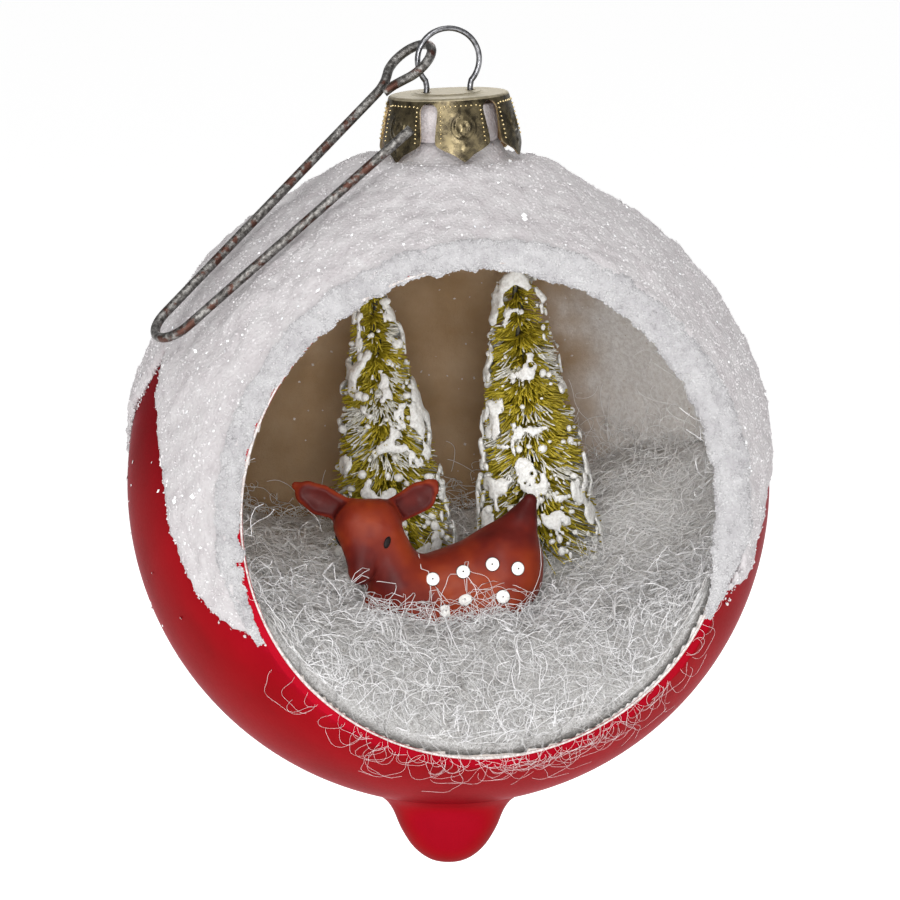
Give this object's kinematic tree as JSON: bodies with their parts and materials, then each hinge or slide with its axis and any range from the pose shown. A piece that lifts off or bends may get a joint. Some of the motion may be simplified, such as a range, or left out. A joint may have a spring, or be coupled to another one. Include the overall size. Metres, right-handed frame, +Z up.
{
  "type": "hanging open-front snow scene bauble",
  "caption": "Hanging glass bauble with a round open window, a crust of glitter snow, and a winter scene of bottle-brush trees and a lying fawn on a fibre bed.",
  "frame": {"origin": "the inside of the top of the hanger's ring, where the bauble hangs from a hook or a branch", "axes": "+Z up through the neck and the cap, -Y out of the window, +X to the right of someone looking in"},
  "size_m": [0.1, 0.0846, 0.1316],
  "materials": {
    "red_glass": "satin",
    "inner_frost": "matte",
    "glitter_snow": "matte",
    "gold_cap": "gloss",
    "ring_steel": "satin",
    "hook_steel": "satin",
    "foam": "matte",
    "white_fibre": "matte",
    "brown_fawn": "satin",
    "clear_glue": "satin",
    "olive_bristle": "matte",
    "stem_wire": "satin"
  },
  "bodies": {
    "ornament": {"glass_ball": "red_glass", "inner_frost": "inner_frost", "snow_crust": "glitter_snow", "rim_snow": "glitter_snow", "foam_base": "foam", "fibre_bed": "white_fibre", "fawn": "brown_fawn", "fawn_glue": "clear_glue", "tree_left_bristles": "olive_bristle", "tree_left_wire_a": "stem_wire", "tree_left_wire_b": "stem_wire", "tree_left_glue": "clear_glue", "tree_right_bristles": "olive_bristle", "tree_right_wire_a": "stem_wire", "tree_right_wire_b": "stem_wire", "tree_right_glue": "clear_glue"},
    "cap": {"cap_crown": "gold_cap"},
    "hanger": {"hanger_loop": "ring_steel"},
    "hook": {"ornament_hook": "hook_steel"}
  },
  "joints": [
    {"name": "cap_lift", "type": "slide", "parent": "ornament", "child": "cap", "axis": [0, 0, 1], "range_m": [0, 0.02]},
    {"name": "hanger_rock", "type": "hinge", "parent": "cap", "child": "hanger", "pos_m": [0, 0, -0.0096], "axis": [1, 0, 0], "range_deg": [-8, 1]},
    {"name": "hook_swing", "type": "hinge", "parent": "hanger", "child": "hook", "pos_m": [0, 0, -0.0044], "axis": [0, 1, 0], "range_deg": [0, 165]}
  ]
}
